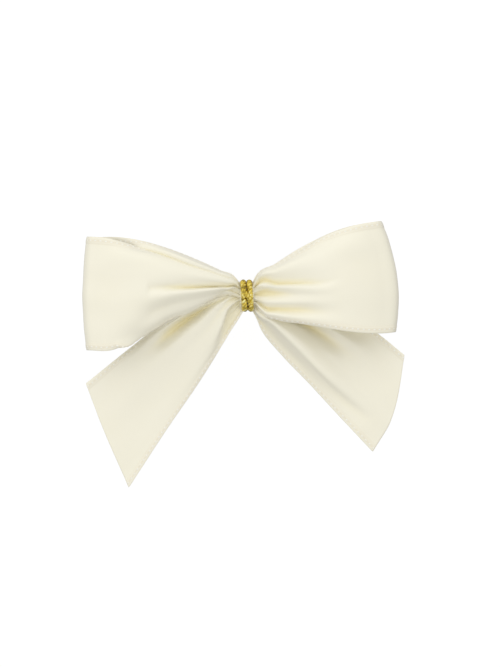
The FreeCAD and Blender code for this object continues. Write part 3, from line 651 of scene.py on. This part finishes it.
def gold_thread():
    """Metallic gold foil thread: fine bright filaments wound along each ply, with painted shade, dark brown,
    between them.
    """
    material, tree, shader = new_material("gold_thread", 0.32)
    where = tree.nodes.new("ShaderNodeTexCoord")
    filaments_and_painted_shade = cloud(tree, stretched(tree, where.outputs["UV"], (700.0, 16.0, 1.0), 0.35), 1.0, 4.0)
    # painted shade: the ramp is dark brown between the filaments, where shade falls, and bright gold on them
    gold = shades(tree, filaments_and_painted_shade, [(0.36, (0.20, 0.135, 0.016)), (0.52, (0.78, 0.60, 0.095)),
                                   (0.70, (1.0, 0.93, 0.42))])
    tree.links.new(gold, shader.inputs["Base Color"])
    add_bump(tree, shader, filaments_and_painted_shade, 0.5, 0.0001)
    shader.inputs["Metallic"].default_value = 0.85
    return material


def pad_foam():
    """White closed-cell foam: fine pale cells, matt."""
    material, tree, shader = new_material("foam_cells", 0.85)
    where = tree.nodes.new("ShaderNodeTexCoord")
    cells = tree.nodes.new("ShaderNodeTexVoronoi")
    cells.inputs["Scale"].default_value = 3200.0
    tree.links.new(where.outputs["Object"], cells.inputs["Vector"])
    white = shades(tree, cells.outputs["Distance"], [(0.0, (0.80, 0.80, 0.77)), (0.45, (0.93, 0.93, 0.91))])
    tree.links.new(white, shader.inputs["Base Color"])
    add_bump(tree, shader, cells.outputs["Distance"], 0.5, 0.0001)
    return material


def release_paper():
    """Smooth cream siliconed paper with a faint fibre cloud and a thin gloss."""
    material, tree, shader = new_material("release_paper", 0.3)
    where = tree.nodes.new("ShaderNodeTexCoord")
    fibre = cloud(tree, where.outputs["Object"], 420.0, 6.0, 1.5)
    cream = shades(tree, fibre, [(0.3, (0.84, 0.77, 0.55)), (0.7, (0.90, 0.85, 0.66))])
    tree.links.new(cream, shader.inputs["Base Color"])
    add_bump(tree, shader, fibre, 0.2, 0.00004)
    shader.inputs["Coat Weight"].default_value = 0.3
    shader.inputs["Coat Roughness"].default_value = 0.2
    return material


# ---------------------------------------------------------------- the bead rows along the hems

THREAD = bead_thread()
BEAD_SIZE = (1.15, 0.72, 0.72)      # along the hem, across it and through it
BEAD_SKIP = 6                       # rows left without beads next to the tie


def bead_maker():
    """A node tree that sets a bead at each step along a line and turns it along the line."""
    tree = bpy.data.node_groups.new("hem_beads", "GeometryNodeTree")
    face = tree.interface
    face.new_socket("Geometry", in_out="INPUT", socket_type="NodeSocketGeometry")
    for name in ("Pitch", "Bead long", "Bead wide", "Bead high"):
        face.new_socket(name, in_out="INPUT", socket_type="NodeSocketFloat")
    face.new_socket("Thread", in_out="INPUT", socket_type="NodeSocketMaterial")
    face.new_socket("Geometry", in_out="OUTPUT", socket_type="NodeSocketGeometry")
    nodes, links = tree.nodes, tree.links
    source, result = nodes.new("NodeGroupInput"), nodes.new("NodeGroupOutput")
    curve = nodes.new("GeometryNodeMeshToCurve")
    links.new(source.outputs["Geometry"], curve.inputs["Mesh"])
    steps = nodes.new("GeometryNodeResampleCurve")
    steps.mode = "LENGTH"
    links.new(curve.outputs["Curve"], steps.inputs["Curve"])
    links.new(source.outputs["Pitch"], steps.inputs["Length"])
    tangent = nodes.new("GeometryNodeInputTangent")
    turn = nodes.new("FunctionNodeAlignRotationToVector")
    turn.axis = "X"
    links.new(tangent.outputs["Tangent"], turn.inputs["Vector"])
    ball = nodes.new("GeometryNodeMeshIcoSphere")
    ball.inputs["Radius"].default_value = 0.5
    ball.inputs["Subdivisions"].default_value = 2
    scale = nodes.new("ShaderNodeCombineXYZ")
    for axis, name in zip("XYZ", ("Bead long", "Bead wide", "Bead high")):
        links.new(source.outputs[name], scale.inputs[axis])
    place = nodes.new("GeometryNodeInstanceOnPoints")
    links.new(steps.outputs["Curve"], place.inputs["Points"])
    links.new(ball.outputs["Mesh"], place.inputs["Instance"])
    links.new(turn.outputs["Rotation"], place.inputs["Rotation"])
    links.new(scale.outputs["Vector"], place.inputs["Scale"])
    real = nodes.new("GeometryNodeRealizeInstances")
    links.new(place.outputs["Instances"], real.inputs["Geometry"])
    smooth = nodes.new("GeometryNodeSetShadeSmooth")
    links.new(real.outputs["Geometry"], smooth.inputs["Geometry"])
    finish = nodes.new("GeometryNodeSetMaterial")
    links.new(smooth.outputs["Geometry"], finish.inputs["Geometry"])
    links.new(source.outputs["Thread"], finish.inputs["Material"])
    links.new(finish.outputs["Geometry"], result.inputs["Geometry"])
    return tree


BEAD_TREE = bead_maker()


def bead_rows(name, grid, across):
    """Both selvedges' rows of beads on one sheet, as one mesh."""
    points, edges = [], []
    for inset in (BEAD_INSET, RIBBON_WIDE - BEAD_INSET):
        column = int(np.argmin(abs(across - inset)))
        row = grid[BEAD_SKIP:-1, column] if name in TAILS else grid[BEAD_SKIP:-BEAD_SKIP, column]
        first = len(points)
        points += [tuple(point * MM) for point in row]
        edges += [(first + step, first + step + 1) for step in range(len(row) - 1)]
    mesh = bpy.data.meshes.new("bead_lines")
    mesh.from_pydata(points, edges, [])
    lines = bpy.data.objects.new("bead_lines", mesh)
    bpy.context.scene.collection.objects.link(lines)
    maker = lines.modifiers.new("beads", "NODES")
    maker.node_group = BEAD_TREE
    sizes = dict(zip(("Bead long", "Bead wide", "Bead high"), (size * MM for size in BEAD_SIZE)))
    values = {"Pitch": BEAD_PITCH * MM, "Thread": THREAD, **sizes}
    for socket in BEAD_TREE.interface.items_tree:
        if socket.in_out == "INPUT" and socket.name in values:
            maker[socket.identifier] = values[socket.name]
    bpy.context.view_layer.update()
    seen = lines.evaluated_get(bpy.context.evaluated_depsgraph_get())
    mesh = bpy.data.meshes.new_from_object(seen)
    bpy.data.objects.remove(lines)
    mesh.name = f"{name}_beads"
    beads = bpy.data.objects.new(f"{name}_beads", mesh)
    bpy.context.scene.collection.objects.link(beads)
    return beads


# ---------------------------------------------------------------- the ribbon's limbs

IVORY = satin()


def make_limb(name):
    """One loop or tail of ribbon with its bead rows, in place of its limb and gather nodes."""
    grid, along, across = ribbon_grid(name)
    sheet = closed_sheet(f"{name}_ribbon", grid, along, across, IVORY)
    beads = bead_rows(name, grid, across)
    for piece in (sheet, beads):
        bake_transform(piece)
    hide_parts(name, f"{name}_gather")


for limb_name in (*LOOPS, *TAILS):
    make_limb(limb_name)

# ---------------------------------------------------------------- the gathered neck and the gold tie

GOLD = gold_thread()
TIE_LOW, TIE_HIGH = (np.array(corner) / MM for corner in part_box("tie_turn_left"))
CORD_WIDE = TIE_HIGH[0] - TIE_LOW[0]
NECK_LOW, NECK_HIGH = (np.array(corner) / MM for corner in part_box("ribbon_neck"))
CROSS_LOW, CROSS_HIGH = (np.array(corner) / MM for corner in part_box("tie_crossover"))
TWIST_LOW, TWIST_HIGH = (np.array(corner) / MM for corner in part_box("tie_twist"))
PLIES = 3
PLY_OFFSET = 0.54           # of the cord's radius, from its middle to a ply's
PLY_SIDES = 14
FLAT_WAY = (1.0, 0.05, 0.02)    # a direction that no cord here runs along, to start its plies from
ASKEW = (0.31, 0.53, 0.79)      # a direction that no ply runs along
TURN_BOXY = 2.7             # 2 would make the turns oval, and more makes them square
TURN_POINTS = 220
TIE_LEAN = 0.28             # how far the top of each turn leans to the left of its middle
CROSS_RISE = 0.42           # how far the crossover stands out in front of its CAD node
CROSS_DIP = 1.1             # how far its ends go down between the turns
CROSS_POINTS = 80
TWIST_POINTS = 70
NECK_HALF = 2.5
NECK_ROWS = 25
NECK_SIDES = 216
NECK_PLEATS = 19


def tube_mesh(paths, radius, sides, closed):
    """Tubes of one radius along some paths, as points, faces and (along, round) UV values."""
    points, faces, values = [], [], []
    for path in paths:
        path = np.asarray(path)
        count = len(path)
        if closed:
            tangent = np.roll(path, -1, axis=0) - np.roll(path, 1, axis=0)
        else:
            tangent = np.gradient(path, axis=0)
        tangent /= np.linalg.norm(tangent, axis=1)[:, None]
        side = np.cross(tangent[0], ASKEW)
        rings = []
        for way in tangent:
            side = side - way * side.dot(way)
            side /= np.linalg.norm(side)
            rings.append((side.copy(), np.cross(way, side)))
        if closed:
            side = side - tangent[0] * side.dot(tangent[0])
            over = math.atan2(side.dot(rings[0][1]), side.dot(rings[0][0]))
            for step, (side_1, side_2) in enumerate(rings):
                back = -over * step / count
                rings[step] = (math.cos(back) * side_1 + math.sin(back) * side_2,
                               math.cos(back) * side_2 - math.sin(back) * side_1)
        first = len(points)
        along = lengths_along(path)
        for step, (centre, (side_1, side_2)) in enumerate(zip(path, rings)):
            for number in range(sides):
                angle = 2 * math.pi * number / sides
                points.append(centre + radius * (math.cos(angle) * side_1 + math.sin(angle) * side_2))
                values.append((along[step] * MM, number / sides * MM * 3))
        last = count if closed else count - 1
        for step in range(last):
            here, there = first + step * sides, first + (step + 1) % count * sides
            for number in range(sides):
                after = (number + 1) % sides
                faces.append((here + number, here + after, there + after, there + number))
        if not closed:
            faces.append(tuple(first + number for number in reversed(range(sides))))
            faces.append(tuple(first + (count - 1) * sides + number for number in range(sides)))
    return points, faces, values


def cord_plies(route, wide, turns, closed, start):
    """The paths of a cord's plies, which wind round its route a number of times."""
    route = np.asarray(route)
    if closed:
        tangent = np.roll(route, -1, axis=0) - np.roll(route, 1, axis=0)
    else:
        tangent = np.gradient(route, axis=0)
    tangent /= np.linalg.norm(tangent, axis=1)[:, None]
    flat = np.array(FLAT_WAY)
    side_1 = flat - tangent * (tangent @ flat)[:, None]
    side_1 /= np.linalg.norm(side_1, axis=1)[:, None]
    side_2 = np.cross(tangent, side_1)
    share = np.linspace(0, 1, len(route), endpoint=not closed)
    offset = wide / 2 * PLY_OFFSET
    paths = []
    for ply in range(PLIES):
        angle = 2 * math.pi * (turns * share + ply / PLIES) + start
        paths.append(route + offset * (np.cos(angle)[:, None] * side_1 + np.sin(angle)[:, None] * side_2))
    return paths


def make_cord(name, route, wide, closed, node, start):
    """One stretch of the twisted gold cord in place of its CAD node."""
    long = lengths_along(np.asarray(route))[-1]
    turns = max(1, round(long / PLY_PITCH)) if closed else long / PLY_PITCH
    paths = cord_plies(route, wide, turns, closed, start)
    points, faces, values = tube_mesh(paths, wide / 2 * (1 - PLY_OFFSET), PLY_SIDES, closed)
    cord = mesh_piece(name, points, faces, GOLD)
    add_uv(cord, values)
    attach(cord, "root")
    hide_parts(node)
    return cord


def turn_route(side):
    """The line of one turn of cord round the neck, an upright rounded box with slightly bowed sides."""
    count = TURN_POINTS
    half_y = (TIE_HIGH[1] - TIE_LOW[1]) / 2 - CORD_WIDE / 2
    half_z = (TIE_HIGH[2] - TIE_LOW[2]) / 2 - CORD_WIDE / 2
    middle_z = (TIE_HIGH[2] + TIE_LOW[2]) / 2
    angle = np.linspace(0, 2 * math.pi, count, endpoint=False)
    power = 2 / TURN_BOXY
    across = half_y * np.sign(np.cos(angle)) * abs(np.cos(angle)) ** power
    up = half_z * np.sign(np.sin(angle)) * abs(np.sin(angle)) ** power
    lean = TIE_LEAN * across / half_y
    route = np.stack([side * CORD_WIDE * 0.5 - lean, across, middle_z + up], axis=1)
    ring = np.vstack([route, route[:1]])
    along = lengths_along(ring)
    wanted = np.linspace(0, along[-1], count, endpoint=False)
    return np.stack([np.interp(wanted, along, ring[:, axis]) for axis in range(3)], axis=1)


def crossover_route(wide):
    """The line of the cord's crossover, from upper left to lower right over the front of both turns."""
    end = wide * 0.35 - 0.2
    lie = CROSS_LOW[2] + wide / 2 + CROSS_RISE
    return evenly([(CROSS_LOW[0] + end, CROSS_HIGH[1] + 0.5, lie - CROSS_DIP),
                   (CROSS_LOW[0] * 0.62, CROSS_HIGH[1] * 0.62, lie - 0.1),
                   (0, 0, lie + 0.1),
                   (CROSS_HIGH[0] * 0.62, CROSS_LOW[1] * 0.62, lie - 0.1),
                   (CROSS_HIGH[0] - end, CROSS_LOW[1] - 0.5, lie - CROSS_DIP)], CROSS_POINTS)


def twist_route():
    """The straight line of the cord's two ends, twisted together behind the neck."""
    _, across, up = (TWIST_LOW + TWIST_HIGH) / 2
    outs = np.linspace(TWIST_LOW[0] + 0.1, TWIST_HIGH[0], TWIST_POINTS)
    return [(out, across, up) for out in outs]


CROSS_WIDE = CROSS_HIGH[2] - CROSS_LOW[2]
TWIST_WIDE = TWIST_HIGH[2] - TWIST_LOW[2]
make_cord("gold_turn_left", turn_route(-1), CORD_WIDE, True, "tie_turn_left", 0.4)
make_cord("gold_turn_right", turn_route(1), CORD_WIDE, True, "tie_turn_right", 1.5)
make_cord("gold_crossover", crossover_route(CROSS_WIDE), CROSS_WIDE * 0.92, False, "tie_crossover", 0.0)
make_cord("gold_twisted_ends", twist_route(), TWIST_WIDE * 0.98, False, "tie_twist", 0.0)


def make_neck():
    """The ribbon's gathered middle, a tight bundle of pleats that the tie holds."""
    rows, sides = NECK_ROWS, NECK_SIDES
    random = np.random.default_rng(5)
    depth = 0.7 + 0.3 * random.random(NECK_PLEATS)
    middle = (NECK_LOW + NECK_HIGH) / 2
    half_y = (TIE_HIGH[1] - TIE_LOW[1]) / 2 - CORD_WIDE * 0.85
    half_z = (TIE_HIGH[2] - TIE_LOW[2]) / 2 - CORD_WIDE * 0.85
    angle = np.linspace(0, 2 * math.pi, sides, endpoint=False)
    place = angle / (2 * math.pi) * NECK_PLEATS
    depths = np.interp(place, np.arange(NECK_PLEATS + 1), np.append(depth, depth[0]))
    wave = np.cos(angle * NECK_PLEATS) * depths
    points, values = [], []
    for row in range(rows):
        out = -NECK_HALF + 2 * NECK_HALF * row / (rows - 1)
        flare = 1 + 0.1 * ease((abs(out) - 1.6) / 1.5)
        ring = flare * (1 + 0.055 * wave)
        for turn, grow in zip(angle, ring):
            points.append((out, half_y * grow * math.cos(turn), middle[2] + half_z * grow * math.sin(turn)))
            values.append((out * MM, turn * 4 * MM))
    faces = []
    for row in range(rows - 1):
        for number in range(sides):
            after = (number + 1) % sides
            here, there = row * sides, (row + 1) * sides
            faces.append((here + number, there + number, there + after, here + after))
    faces.append(tuple(range(sides)))
    faces.append(tuple((rows - 1) * sides + number for number in reversed(range(sides))))
    neck = mesh_piece("gathered_neck", points, faces, IVORY)
    add_uv(neck, values)
    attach(neck, "root")
    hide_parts("ribbon_neck")


make_neck()
for node, material in (("adhesive_pad", pad_foam()), ("release_liner", release_paper())):
    for material_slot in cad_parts[node].material_slots:
        material_slot.material = material

# ---------------------------------------------------------------- stage, light and camera

VIEW_WIDE = 172.5 * MM * 667 / 500
VIEW_MIDDLE = (1.03, -13.1, 8.0)
LENS = 100.0
SENSOR = 36.0
FLOOR_BELOW = 58.0          # more than the tails and the liner hang down when they move
ROOM_TOP = (-0.2, 0.57, 0.80)   # where the room is brightest, seen from the bow
ROOM_LOW = 0.33                 # the room's brightness from the other side, and from there
ROOM_HIGH = 1.0


def make_floor():
    """A plain white floor, below the bow."""
    bpy.ops.mesh.primitive_plane_add(size=6.0, location=(0, 0, -FLOOR_BELOW * MM))
    floor = bpy.context.active_object
    floor.name = "floor"
    material, _, shader = new_material("floor_white", 0.9)
    shader.inputs["Base Color"].default_value = (0.3, 0.3, 0.3, 1)
    shader.inputs["Emission Color"].default_value = (1, 1, 1, 1)
    shader.inputs["Emission Strength"].default_value = 0.76
    floor.data.materials.append(material)
    floor.visible_diffuse = False
    floor.visible_glossy = False


def add_light(name, place, power, size):
    """A square soft light that faces the bow."""
    data = bpy.data.lights.new(name, "AREA")
    data.energy = power
    data.shape = "SQUARE"
    data.size = size
    light = bpy.data.objects.new(name, data)
    light.location = place
    light.rotation_euler = (Vector((0, 0, 0)) - Vector(place)).to_track_quat("-Z", "Y").to_euler()
    bpy.context.scene.collection.objects.link(light)


def light_room():
    """Even white light from all round, brighter from the bow's top side than from below it."""
    world = bpy.data.worlds.new("room")
    world.use_nodes = True
    nodes, links = world.node_tree.nodes, world.node_tree.links
    way = nodes.new("ShaderNodeTexCoord")
    facing = nodes.new("ShaderNodeVectorMath")
    facing.operation = "DOT_PRODUCT"
    facing.inputs[1].default_value = ROOM_TOP
    links.new(way.outputs["Generated"], facing.inputs[0])
    shade = nodes.new("ShaderNodeMapRange")
    shade.inputs["From Min"].default_value = -0.8
    shade.inputs["From Max"].default_value = 0.7
    shade.inputs["To Min"].default_value = ROOM_LOW
    shade.inputs["To Max"].default_value = ROOM_HIGH
    links.new(facing.outputs["Value"], shade.inputs["Value"])
    links.new(shade.outputs["Result"], nodes["Background"].inputs["Strength"])
    nodes["Background"].inputs["Color"].default_value = (1, 1, 1, 1)
    bpy.context.scene.world = world


def make_camera():
    """A camera straight above the bow, with the bow's top at the top of the picture."""
    data = bpy.data.cameras.new("camera")
    data.lens = LENS
    data.sensor_width = SENSOR
    height = VIEW_WIDE / 2 / (SENSOR / 2 / LENS)
    camera = bpy.data.objects.new("camera", data)
    camera.location = Vector(VIEW_MIDDLE) * MM + Vector((0, 0, height))
    bpy.context.scene.collection.objects.link(camera)
    bpy.context.scene.camera = camera


make_floor()
add_light("top_light", (0.0, 0.9, 0.9), 0.45, 0.7)
add_light("left_light", (-1.0, 0.3, 0.45), 0.30, 0.5)
light_room()
bpy.context.scene.view_settings.view_transform = "Standard"
make_camera()
